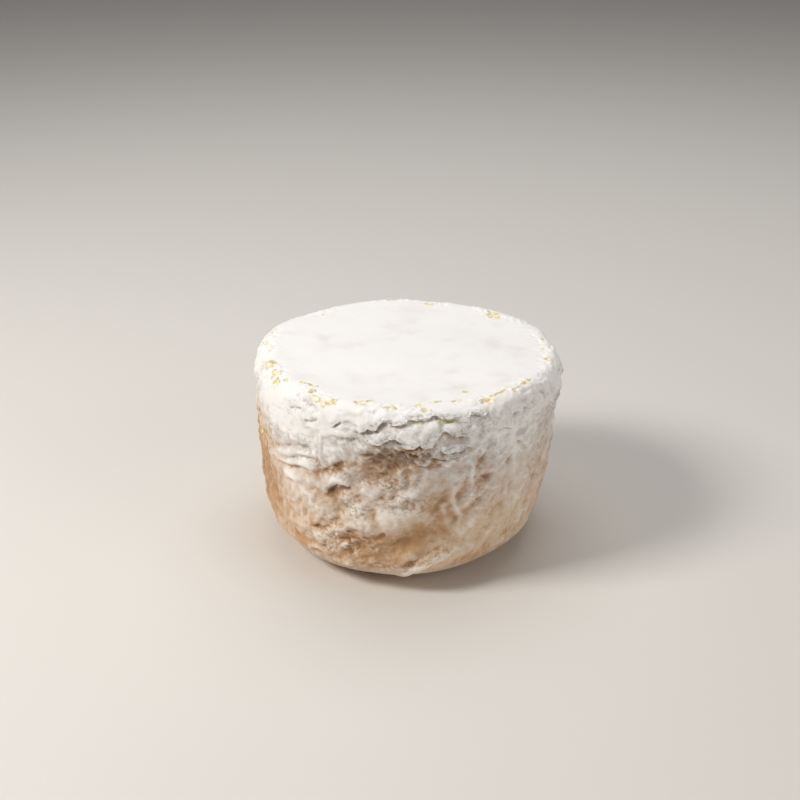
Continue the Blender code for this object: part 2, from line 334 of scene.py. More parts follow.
@dataclass(frozen=True)
class Grain:
    """A repeatable gradient noise, for everything that grew unevenly."""

    seed: int

    def tables(self) -> tuple[Values, Values]:
        """The shuffled order and the slopes that this grain's seed gives."""
        source = np.random.default_rng(self.seed)
        slopes = unit(source.normal(size=(256, 3)))
        return source.permutation(256), slopes

    def at(self, points: Values) -> Values:
        """One octave of noise.

        Args:
            points: Rows of coordinates, in cells of the noise.

        Returns:
            A value between about -1 and 1 for each row.
        """
        order, slopes = self.tables()
        base = np.floor(points).astype(int)
        inside = points - base
        blend = inside**3 * (inside * (inside * 6 - 15) + 10)
        total = np.zeros(len(points))
        for corner in np.ndindex(2, 2, 2):
            cell = (base + np.array(corner)) & 255
            key = order[(order[(order[cell[:, 0]] + cell[:, 1]) & 255] + cell[:, 2]) & 255]
            weight = np.prod(np.where(corner, blend, 1 - blend), axis=1)
            total += weight * np.einsum("ij,ij->i", slopes[key], inside - corner)
        return total * 1.7

    def layered(self, points: Values, octaves: int) -> Values:
        """Several octaves of noise, each twice as fine and half as high as the one before."""
        layers = [Grain(self.seed + step).at(points * 2**step) / 2**step for step in range(octaves)]
        return sum(layers) / (2 - 2 ** (1 - octaves))

    def warped(self, points: Values, amount: float) -> Values:
        """The points, each pushed about by noise of the same scale."""
        pushes = [Grain(self.seed + 50 + axis).at(points) for axis in range(3)]
        return points + amount * np.stack(pushes, axis=1)

    def folded(self, points: Values, warp: float, soft: float = 0.10) -> Values:
        """Pillows with creases between them.

        Args:
            points: Rows of coordinates, in cells of the noise.
            warp: How far the pattern is pushed about, in cells.
            soft: How rounded the creases are.

        Returns:
            0 in a crease, up to about 1 on a pillow.
        """
        return 1.6 * (np.hypot(self.at(self.warped(points, warp)), soft) - soft)


class Surface:
    """A mesh while it is being modelled, as arrays, with where each point lies on the wheel."""

    def __init__(self, mesh: bpy.types.Mesh, height: float) -> None:
        """Reads the mesh.

        Args:
            mesh: The mesh to be modelled.
            height: The wheel's height, in metres.
        """
        self.mesh = mesh
        self.height = height
        self.places = self.vectors(mesh.vertices, "co")
        edges = np.empty(len(mesh.edges) * 2, np.int32)
        mesh.edges.foreach_get("vertices", edges)
        self.edges = edges.reshape(-1, 2)
        self.degree = np.bincount(edges, minlength=len(self.places)).astype(float)
        self.refresh()
        self.locate()

    @staticmethod
    def vectors(source: bpy.types.bpy_prop_collection, name: str) -> Values:
        """The rows of a vector property of every element of a mesh."""
        values = np.empty(len(source) * 3, np.float32)
        source.foreach_get(name, values)
        return values.reshape(-1, 3).astype(float)

    def refresh(self) -> None:
        """Takes the normals of the mesh as it is now."""
        self.normals = self.vectors(self.mesh.vertex_normals, "vector")

    def locate(self) -> None:
        """Works out each point's azimuth and share, and how much it belongs to the side."""
        x, y, z = self.places.T
        self.azimuth = np.arctan2(y, x)
        radius = np.hypot(x, y)
        bins = 180
        index = ((self.azimuth / math.tau + 0.5) * bins).astype(int) % bins
        widest = np.zeros(bins)
        np.maximum.at(widest, index, radius)
        centres = ((np.arange(bins) + 0.5) / bins - 0.5) * math.tau
        rim = np.interp(self.azimuth, centres, widest, period=math.tau)
        over_top = np.clip(rim - 2.5 * MM - radius, 0, None) * (z > 0.8 * self.height)
        under_foot = np.clip(rim - 10 * MM - radius, 0, None) * (z < 0.2 * self.height)
        self.share = (z + over_top - under_foot) / self.height
        self.spread = float(rim.mean())
        self.side = ease(0.85, 0.45, self.normals[:, 2])
        self.lifted = ease(0.0, 0.10, z / self.height)

    def grain(self, seed: int, size: float, octaves: int = 1) -> Values:
        """Noise on the surface, in patches of this size in millimetres."""
        return Grain(seed).layered(self.places / (size * MM), octaves)

    def move(self, steps: Values) -> None:
        """Moves every point, keeps the foot on the ground and renews the normals.

        Args:
            steps: How far each point goes, as rows in metres.
        """
        standing = self.places[:, 2] < 0.2 * MM
        self.places += steps * self.lifted[:, None]
        self.places[:, 2] = np.where(standing, 0, np.clip(self.places[:, 2], 0, None))
        self.mesh.vertices.foreach_set("co", self.places.astype(np.float32).ravel())
        self.mesh.update()
        self.refresh()

    def averaged(self, values: Values, rounds: int) -> Values:
        """Evens values out over the surface.

        Args:
            values: One value for each point.
            rounds: How many times each is shared with its neighbours.

        Returns:
            The evened values.
        """
        first, second = self.edges.T
        for _ in range(rounds):
            total = np.bincount(first, values[second], len(values))
            total += np.bincount(second, values[first], len(values))
            values = 0.5 * values + 0.5 * total / self.degree
        return values

    def around(self, azimuth: float) -> Values:
        """How far each point lies counter-clockwise from an azimuth in degrees, in metres."""
        turn = self.azimuth - math.radians(azimuth)
        return (np.mod(turn + math.pi, math.tau) - math.pi) * self.spread


def paint(mesh: bpy.types.Mesh, coat: Coat, values: Values) -> None:
    """Writes one value for each point as an attribute of the mesh."""
    layer = mesh.attributes.new(coat.value, "FLOAT", "POINT")
    layer.data.foreach_set("value", values.astype(np.float32))


@dataclass
class Hand:
    """The modeller's hand: it works out what strokes and dabs do to a surface."""

    surface: Surface
    grain: Grain = Grain(900)

    def flattened(self, path: Path) -> Values:
        """Lays a path out flat, with a smooth curve through its spots.

        Args:
            path: The path.

        Returns:
            Rows of metres round from its first azimuth, and metres up.
        """
        spots = np.array(path, float)
        spots[:, 0] = np.radians(spots[:, 0] - spots[0, 0]) * self.surface.spread
        spots[:, 1] *= self.surface.height
        ends = np.vstack([2 * spots[0] - spots[1], spots, 2 * spots[-1] - spots[-2]])
        curve = []
        for index in range(len(spots) - 1):
            a, b, c, d = ends[index : index + 4]
            for part in np.linspace(0, 1, 5)[:-1]:
                bend = (2 * a - 5 * b + 4 * c - d) * part**2 + (3 * (b - c) + d - a) * part**3
                curve.append(b + 0.5 * ((c - a) * part + bend))
        return np.array([*curve, spots[-1]])

    def distances(self, stroke: Stroke) -> tuple[Values, Values, Values]:
        """Where the points near a stroke lie.

        Args:
            stroke: The stroke.

        Returns:
            The indices of the points near it, how far each is from its path in metres, positive on its
            left, and how far along it each lies, from 0 to 1.
        """
        line = self.flattened(stroke.path)
        x = self.surface.around(stroke.path[0][0])
        y = self.surface.share * self.surface.height
        margin = 4 * stroke.width * MM
        low, high = line.min(axis=0) - margin, line.max(axis=0) + margin
        near = np.flatnonzero((x > low[0]) & (x < high[0]) & (y > low[1]) & (y < high[1]))
        spots = np.stack([x[near], y[near]], axis=1)
        best = np.full(len(near), np.inf)
        signed = np.zeros(len(near))
        along = np.zeros(len(near))
        for index, (start, end) in enumerate(zip(line, line[1:])):
            run = end - start
            part = np.clip((spots - start) @ run / (run @ run), 0, 1)
            gap = spots - start - part[:, None] * run
            length = np.linalg.norm(gap, axis=1)
            closer = length < best
            best = np.where(closer, length, best)
            side = np.sign(run[0] * gap[:, 1] - run[1] * gap[:, 0])
            signed = np.where(closer, length * side, signed)
            along = np.where(closer, (index + part) / (len(line) - 1), along)
        return near, signed, along

    def stroke(self, tool: Tool, stroke: Stroke, ragged: float = 0.35) -> tuple[Values, ...]:
        """What one stroke does.

        Args:
            tool: What the stroke leaves.
            stroke: The stroke.
            ragged: How far its line wanders, in millimetres.

        Returns:
            How far each point goes outwards and how far down, in metres, and how much painted shade it gets
            under a lip.
        """
        outward, down, lip_shade = np.zeros((3, len(self.surface.places)))
        near, signed, along = self.distances(stroke)
        if not len(near):
            return outward, down, lip_shade
        wander = self.grain.layered(self.surface.places[near] / (2.2 * MM), 3)
        signed = signed / MM + ragged * 2 * wander
        fade = 0.16 if tool is Tool.LEDGE else 0.30
        taper = ease(0, fade, along) * ease(1, 1 - fade, along)
        across = np.sqrt((signed / stroke.width) ** 2 + 0.03)
        if tool is Tool.RIDGE:
            shape = np.exp(-(across**1.6)) * taper
        elif tool is Tool.CREASE:
            shape = -np.exp(-1.3 * across**1.2) * taper
        else:
            lip = np.exp(-((across / 1.3) ** 1.3)) * (signed > 0)
            under = np.exp(-(across**1.8)) * (signed <= 0)
            shape = np.tanh(signed / 0.22) * (0.8 * lip + 1.1 * under) * taper
            down[near] = 0.6 * np.exp(-(((signed - 0.2) / 0.6) ** 2)) * taper * stroke.relief * MM
            # Painted shade under the lip, handed back for the colours.
            lip_shade[near] = np.exp(-(((signed + 0.55 * stroke.width) / (0.6 * stroke.width)) ** 2)) * taper
        outward[near] = shape * stroke.relief * MM
        return outward, np.clip(down, 0, None), lip_shade * min(1.0, abs(stroke.relief))

    def reach(self, dab: Dab) -> Values:
        """Measures the points from the middle of a dab.

        Args:
            dab: The dab.

        Returns:
            How many of the dab's own radii each point lies from it.
        """
        x = self.surface.around(dab.azimuth) / MM
        y = (self.surface.share - dab.share) * self.surface.height / MM
        turn = math.radians(dab.turn)
        along = x * math.cos(turn) + y * math.sin(turn)
        over = y * math.cos(turn) - x * math.sin(turn)
        return np.hypot(along / dab.across, over / dab.up)

    def dab(self, dab: Dab) -> Values:
        """How far one dab pushes each point outwards, in metres."""
        away = self.reach(dab)
        return (dab.lip * np.exp(-(((away - 1.45) / 0.35) ** 2)) - dab.depth * np.exp(-(away**2))) * MM

    def shading(self, dabs: Sequence[Dab]) -> Values:
        """Lays soft dabs over the surface.

        Args:
            dabs: The dabs, each with its strength as its depth.

        Returns:
            The strongest of them at each point.
        """
        shown = np.zeros(len(self.surface.places))
        for dab in dabs:
            shown = np.maximum(shown, dab.depth * np.exp(-(self.reach(dab) ** 2)))
        return shown


@dataclass(frozen=True)
class Relief:
    """How far each kind of unevenness stands out, in millimetres."""

    swell: float = 0.5
    fold: float = 1.5
    wrinkle: float = 0.95
    pillow: float = 0.8
    plateau: float = 0.3
    velvet: float = 0.1
    plate: float = 0.75
    crumple: float = 0.75
    grit: float = 0.5
    rim_lump: float = 0.85
    worn_lip: float = 0.35
    worn_dip: float = 0.5


class Rind(Surface):
    """The surface of the rind, while it is given the form and the coats of a ripe one."""

    def __init__(self, mesh: bpy.types.Mesh, height: float, seed: int, relief: Relief) -> None:
        """Reads the mesh.

        Args:
            mesh: The mesh to be modelled.
            height: The wheel's height, in metres.
            seed: The seed of the marks that aren't named.
            relief: How far each kind of unevenness stands out.
        """
        super().__init__(mesh, height)
        self.seed = seed
        self.relief = relief
        self.hand = Hand(self)
        self.calm = self.hand.shading(CALM)

    def knead(self) -> None:
        """Gives the soft rind its swells, pillows and draped folds."""
        points = self.places
        share = self.share
        relief = self.relief
        lively = 1 - self.calm
        swell = relief.swell * self.grain(20, 20, 2)
        belly = ease(0.06, 0.2, share) * ease(0.92, 0.72, share)
        drape = np.array([0.72, 0.0, 0.69])
        slanted = points - 0.5 * (points @ drape)[:, None] * drape
        folds = 0.40 - Grain(30).folded(slanted / (12 * MM), 0.7)
        wrinkles = 0.40 - Grain(40).folded(slanted / (5.5 * MM), 0.8)
        pillows = Grain(45).folded(points / (6.5 * MM), 0.6, 0.05) - 0.40
        torn = ease(0.55, 0.75, share)
        outward = swell + lively * belly * (relief.fold * folds * (1 - torn) + relief.wrinkle * wrinkles)
        outward += lively * torn * ease(1, 0.9, share) * relief.pillow * pillows
        outward *= self.side
        plateau = relief.plateau * self.grain(80, 19, 2) + relief.velvet * self.grain(84, 5, 2)
        outward += plateau * (1 - self.side) * ease(0.9, 1.0, share)
        self.move(self.normals * (outward * MM)[:, None])

    def ledges(self) -> list[Stroke]:
        """Picks the ledges that are deep and high enough for bloom to hang loose from them.

        Returns:
            The ledges, on the front and round the rest.
        """
        deep, high = 0.75, 0.79
        hidden = [stroke for tool, stroke in self.hidden_strokes() if tool is Tool.LEDGE]
        every = (*FRONT_LEDGES, *hidden)
        return [ledge for ledge in every if ledge.relief > deep and ledge.path[-1][1] > high]

    def tear(self) -> Values:
        """Presses the named marks of the front, and marks of the same kinds all round the rest.

        Returns:
            How much painted shade each point gets under a lip, from 0 to 1.
        """
        outward, down, lip_shade = np.zeros((3, len(self.places)))
        named = {Tool.LEDGE: FRONT_LEDGES, Tool.CREASE: FRONT_CREASES, Tool.RIDGE: FRONT_RIDGES}
        strokes = [(tool, stroke) for tool, row in named.items() for stroke in row]
        strokes += self.hidden_strokes()
        for tool, stroke in strokes:
            out, fallen, hidden = self.hand.stroke(tool, stroke)
            outward += out
            down = np.maximum(down, fallen)
            # hidden is the painted shade under this stroke's lip.
            lip_shade = np.maximum(lip_shade, hidden)
        for dab in (*FRONT_DABS, *self.hidden_dabs()):
            outward += self.hand.dab(dab)
        outward += self.plates() * (1 - self.calm)
        outward *= ease(1.3, 1.1, self.share)
        self.move(self.normals * outward[:, None] - np.array([0, 0, 1]) * down[:, None])
        return lip_shade

    def plates(self) -> Values:
        """The thin, ragged plates of bloom that overlap under the rim.

        Returns:
            How far each point goes outwards, in metres.
        """
        phase = self.share * self.height / (3.2 * MM)
        for seed, size, wander in ((100, 15, 1.1), (101, 5.5, 0.55), (102, 2.3, 0.28), (103, 1.2, 0.14)):
            phase = phase + wander * self.grain(seed, size)
        saw = phase - np.floor(phase)
        step = 0.5 - saw + ease(0.86, 1.0, saw)
        band = ease(0.66, 0.78, self.share) * ease(1.03, 0.98, self.share)
        patchy = ease(-0.25, 0.35, self.grain(110, 11, 2))
        return self.relief.plate * MM * step * band * patchy

    def hidden_strokes(self) -> list[tuple[Tool, Stroke]]:
        """Strokes like the front's for the back and the far sides, in the same proportions.

        Returns:
            Each stroke with its tool.
        """
        source = np.random.default_rng(self.seed)
        strokes = []
        for _ in range(HIDDEN_LEDGES):
            start, share = source.uniform(-22, 184), source.uniform(0.70, 0.97)
            length, climb = source.uniform(7, 18), source.uniform(-0.03, 0.03)
            path = []
            for part in (0, 0.3, 0.65, 1):
                path.append((start + length * part, share + climb * part + source.uniform(-0.015, 0.015)))
            stroke = Stroke(tuple(path), source.uniform(1.0, 1.8), source.uniform(0.5, 1.2))
            strokes.append((Tool.LEDGE, stroke))
        for _ in range(HIDDEN_FOLDS):
            start, share = source.uniform(-22, 184), source.uniform(0.15, 0.70)
            length, climb = source.uniform(8, 22), source.uniform(-0.10, 0.10)
            middle, end = (start + length / 2, share + climb * 0.7), (start + length, share + climb)
            tool = Tool.CREASE if source.random() < 0.6 else Tool.RIDGE
            width, relief = source.uniform(0.9, 1.4), source.uniform(0.4, 1.0)
            strokes.append((tool, Stroke(((start, share), middle, end), width, relief)))
        return strokes

    def hidden_dabs(self) -> list[Dab]:
        """Dabs like the front's for the back and the far sides.

        Returns:
            The dabs.
        """
        source = np.random.default_rng(self.seed + 1)
        dabs = []
        for _ in range(HIDDEN_DABS):
            across = source.uniform(1.0, 4.0)
            depth = source.choice([-0.9, 0.8]) * source.uniform(0.5, 1.2)
            azimuth, share = source.uniform(-20, 186), source.uniform(0.2, 0.95)
            up = across * source.uniform(0.45, 0.9)
            lip, turn = 0.15 * source.random() * (depth > 0), source.uniform(-30, 30)
            dabs.append(Dab(azimuth, share, across, up, depth, lip, turn))
        return dabs

    def crumb(self) -> Values:
        """Crumples the rind finely, and leaves the rim crumbly and worn.

        Returns:
            How finely crumbled the skin is at each point, from 0 to 1.
        """
        relief = self.relief
        share = self.share
        x, y, z = self.places.T
        fine = 0.40 - Grain(120).folded(np.stack([x, y, 1.4 * z], axis=1) / (3.6 * MM), 0.7, 0.06)
        finer = 0.40 - Grain(130).folded(self.places / (1.9 * MM), 0.6, 0.05)
        crumbled = self.roughness()
        amount = (0.15 + 0.85 * crumbled) * self.side
        outward = (relief.crumple * fine + relief.grit * finer) * amount
        rim = ease(0.94, 0.985, share) * ease(1.12, 1.03, share)
        lumps = self.grain(150, 1.8, 2)
        broken = ease(-0.4, 0.2, self.grain(160, 9))
        outward += rim * broken * relief.rim_lump * lumps
        ragged = 0.35 * self.grain(180, 2.6, 3)
        worn = self.worn()
        worn = ease(0.2, 0.7, worn + ragged * ease(0.02, 0.3, worn))
        outward += relief.worn_lip * 4 * worn * (1 - worn) * ease(0.9, 0.98, share) - relief.worn_dip * worn
        self.move(self.normals * (outward * MM)[:, None])
        return crumbled

    def roughness(self) -> Values:
        """Says where the skin is crumbled.

        Returns:
            How finely crumbled each point is, from 0 to 1.
        """
        rough = ease(-0.2, 0.5, self.grain(140, 16, 2))
        rough = 0.50 * rough * (0.6 + 0.4 * ease(0.5, 0.75, self.share))
        rough *= 1 - 0.85 * self.calm
        ragged = 0.3 * self.grain(145, 5, 2)
        patches = self.hand.shading(CRUMBLED)
        return np.clip(np.maximum(rough, patches * (1 + ragged)), 0, 1)

    def colour(self, lip_shade: Values, crumbled: Values) -> Values:
        """Paints how thick the bloom lies, how deep each place is, with the painted shade of the hollows and
        under the lips, and where the paste shows.

        Args:
            lip_shade: How much painted shade each point gets under a lip, from 0 to 1.
            crumbled: How finely crumbled the skin is at each point, from 0 to 1.

        Returns:
            How thick the bloom lies at each point, from 0 to 1.
        """
        share = self.share
        depth = self.sunk(60)
        nook = self.sunk(4)
        drift = self.grain(170, 13, 3)
        ragged = 1 + 0.5 * self.grain(175, 4, 3)
        bare_skin_and_shade = self.hand.shading(BARE_SKIN_AND_SHADE) * ragged
        # Less bloom in the hollows and small recesses: partly the rind's own tan, partly painted shade.
        bloom = 0.44 - 0.30 * depth - 0.25 * nook + 0.25 * drift - 0.70 * bare_skin_and_shade
        bloom += 0.6 * self.hand.shading(THICK) * ragged
        bloom += 0.50 * ease(0.62, 0.97, share) - 0.10 * ease(0.4, 0.05, share)
        bloom = bloom - self.hand.shading(ASHEN) * ragged
        # Under the torn lips the bloom is taken away, as painted shade.
        bloom = np.maximum(bloom, ease(0.98, 1.05, share) * (0.86 + 0.10 * drift)) - 0.40 * lip_shade
        # The hollow coat browns and darkens the skin: partly the tan of the hollows, partly painted shade in
        # them and under the lips.
        hollow = 0.30 + 0.30 * depth + 0.30 * nook + 0.45 * bare_skin_and_shade + 0.30 * lip_shade
        bloom = np.clip(bloom, 0, 1)
        paint(self.mesh, Coat.BLOOM, bloom)
        paint(self.mesh, Coat.HOLLOW, np.clip(hollow, 0, 1))
        # Lowered under the WARM dabs, the share coat warms the skin: partly its own tone, partly painted
        # warm shade.
        paint(self.mesh, Coat.SHARE, np.clip(share - 0.5 * self.hand.shading(WARM), 0, 1.6))
        paint(self.mesh, Coat.PASTE, self.worn())
        paint(self.mesh, Coat.CRUMBLE, crumbled)
        return bloom

    def sunk(self, rounds: int) -> Values:
        """How far each point lies below its neighbourhood, in millimetres.

        Args:
            rounds: How wide the neighbourhood is, in rounds of averaging.

        Returns:
            The depth of each point.
        """
        smooth = np.stack([self.averaged(self.places[:, axis], rounds) for axis in range(3)], axis=1)
        return ((smooth - self.places) * self.normals).sum(axis=1) / MM

    def worn(self) -> Values:
        """How far the bloom is worn off the yellow paste.

        Returns:
            How worn each point is, from 0 to about 1.
        """
        source = np.random.default_rng(self.seed + 2)
        places = list(FRONT_WEAR)
        for _ in range(HIDDEN_WEAR):
            across = source.uniform(1.0, 3.2)
            azimuth, share = source.uniform(-24, 190), source.normal(1.02, 0.035)
            up, strength = across * source.uniform(0.3, 0.8), source.uniform(0.6, 1.1)
            places.append(Dab(azimuth, share, across, up, strength))
        crumbs = ease(0.25, 0.6, self.grain(185, 2.4, 2))
        band = ease(0.975, 1.0, self.share) * ease(1.08, 1.03, self.share)
        crumbs *= ease(0.0, 0.4, self.grain(186, 11))
        return np.maximum(self.hand.shading(places), 0.5 * crumbs * band)


@dataclass
class WheelRind:
    """The whole wheel in its rind, as one closed skin."""

    columns: int = 144
    wall_rows: int = 22
    shoulder: float = 6.0 * MM
    shoulder_steps: int = 4
    foot_curve: float = 16.0 * MM
    foot_steps: int = 10
    fine_plateau: float = 9.0 * MM
    seed: int = 7
    flap_seed: int = 307
    relief: Relief = Relief()

    def build(self) -> tuple[Piece, Piece]:
        """Models, dresses and places the wheel.

        Returns:
            The rind, and the torn bloom on it.
        """
        piece = self.blank()
        self.wrap(piece)
        self.refine(piece)
        rind = Rind(piece.data, self.height(), self.seed, self.relief)
        rind.knead()
        # tear hands back the painted shade under the lips.
        lip_shade = rind.tear()
        crumbled = rind.crumb()
        bloom = rind.colour(lip_shade, crumbled)
        flaps = TornBloom(rind, bloom, self.flap_seed).build(rind.ledges())
        self.tidy(piece)
        finish = RindFinish().material()
        for part in (piece, flaps):
            part.data.materials.clear()
            part.data.materials.append(finish)
        return piece, flaps

    @staticmethod
    def height() -> float:
        """The wheel's height in the frame."""
        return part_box(NODE)[1].z

    @staticmethod
    def select(piece: Piece, kind: str, wanted: Callable[..., bool]) -> bmesh.types.BMesh:
        """Selects elements of the piece that is in edit mode.

        Args:
            piece: The piece.
            kind: "edges" or "faces".
            wanted: Says whether an element is to be selected.

        Returns:
            The edit mesh.
        """
        bpy.ops.mesh.select_all(action="DESELECT")
        bpy.ops.mesh.select_mode(type="EDGE" if kind == "edges" else "FACE")
        cage = bmesh.from_edit_mesh(piece.data)
        for element in getattr(cage, kind):
            element.select_set(wanted(element))
        bmesh.update_edit_mesh(piece.data)
        return cage

    def blank(self) -> Piece:
        """Makes a drum a little smaller than the wheel, with a soft rim and a softer foot.

        Returns:
            The drum, all of even four-sided faces.
        """
        low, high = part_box(NODE)
        centre = (low + high) / 2
        bpy.ops.object.select_all(action="DESELECT")
        bpy.ops.mesh.primitive_cylinder_add(
            vertices=self.columns,
            radius=0.98 * (high.x - low.x) / 2,
            depth=high.z,
            end_fill_type="NGON",
            location=centre,
        )
        piece = bpy.context.object
        piece.name = piece.data.name = "bloomy_rind"
        bpy.ops.object.transform_apply(location=True, rotation=True, scale=True)
        bpy.ops.object.mode_set(mode="EDIT")
        for level, width, steps in (
            (high.z, self.shoulder, self.shoulder_steps),
            (0.0, self.foot_curve, self.foot_steps),
        ):
            self.select(piece, "edges", lambda edge: all(abs(v.co.z - level) < 1e-5 for v in edge.verts))
            bpy.ops.mesh.bevel(offset=width, segments=steps, profile=0.5, affect="EDGES")
        wall = high.z - self.shoulder - self.foot_curve
        self.select(piece, "edges", lambda edge: abs(edge.verts[0].co.z - edge.verts[1].co.z) > 0.9 * wall)
        bpy.ops.mesh.subdivide(number_cuts=self.wall_rows - 1, smoothness=0)
        for level in (high.z, 0.0):
            self.select(
                piece, "faces", lambda face: len(face.verts) > 4 and abs(face.verts[0].co.z - level) < 1e-5
            )
            bpy.ops.mesh.delete(type="ONLY_FACE")
            self.select(piece, "edges", lambda edge: edge.is_boundary)
            bpy.ops.mesh.fill_grid(span=self.columns // 4)
        bpy.ops.mesh.select_all(action="SELECT")
        bpy.ops.mesh.normals_make_consistent(inside=False)
        bpy.ops.object.mode_set(mode="OBJECT")
        return piece

    @staticmethod
    def apply(piece: Piece, kind: str, **settings: object) -> None:
        """Adds a modifier to a piece and applies it.

        Args:
            piece: The piece.
            kind: The modifier's type.
            settings: Its settings.
        """
        modifier = piece.modifiers.new(kind.lower(), kind)
        for name, value in settings.items():
            setattr(modifier, name, value)
        bpy.context.view_layer.objects.active = piece
        bpy.ops.object.modifier_apply(modifier=modifier.name)

    def wrap(self, piece: Piece) -> None:
        """Lays the blank on the wheel's true form and smooths away the facets.

        Args:
            piece: The blank.
        """
        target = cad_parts[NODE]
        self.apply(piece, "SHRINKWRAP", target=target, wrap_method="NEAREST_SURFACEPOINT")
        self.apply(piece, "SUBSURF", levels=1, render_levels=1)
        self.apply(piece, "SMOOTH", factor=0.5, iterations=6)

    def refine(self, piece: Piece) -> None:
        """Splits the faces of the side and the rim again, where the rind is worked most.

        Args:
            piece: The wrapped blank.
        """
        height = self.height()
        rim = (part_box(NODE)[1].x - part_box(NODE)[0].x) / 2
        bpy.ops.object.mode_set(mode="EDIT")

        def worked(face: bmesh.types.BMFace) -> bool:
            """Says whether a face is on the side, or near the rim on the plateau.

            Args:
                face: The face.

            Returns:
                Whether it is.
            """
            centre = face.calc_center_median()
            inner = math.hypot(centre.x, centre.y) < rim - self.fine_plateau
            return not (inner and centre.z > 0.9 * height) and centre.z > 0.4 * MM

        self.select(piece, "faces", worked)
        bpy.ops.mesh.subdivide(number_cuts=1, smoothness=0, ngon=True)
        bpy.ops.object.mode_set(mode="OBJECT")
        self.apply(piece, "SMOOTH", factor=0.5, iterations=4)

    def tidy(self, piece: Piece) -> None:
        """Makes the hidden foot one flat face and shades the rest smoothly.

        Args:
            piece: The modelled rind.
        """
        bpy.ops.object.select_all(action="DESELECT")
        bpy.context.view_layer.objects.active = piece
        piece.select_set(True)
        bpy.ops.object.mode_set(mode="EDIT")
        self.select(piece, "faces", lambda face: all(v.co.z < 1e-6 for v in face.verts))
        bpy.ops.mesh.dissolve_faces()
        bpy.ops.object.mode_set(mode="OBJECT")
        bpy.ops.object.shade_smooth()


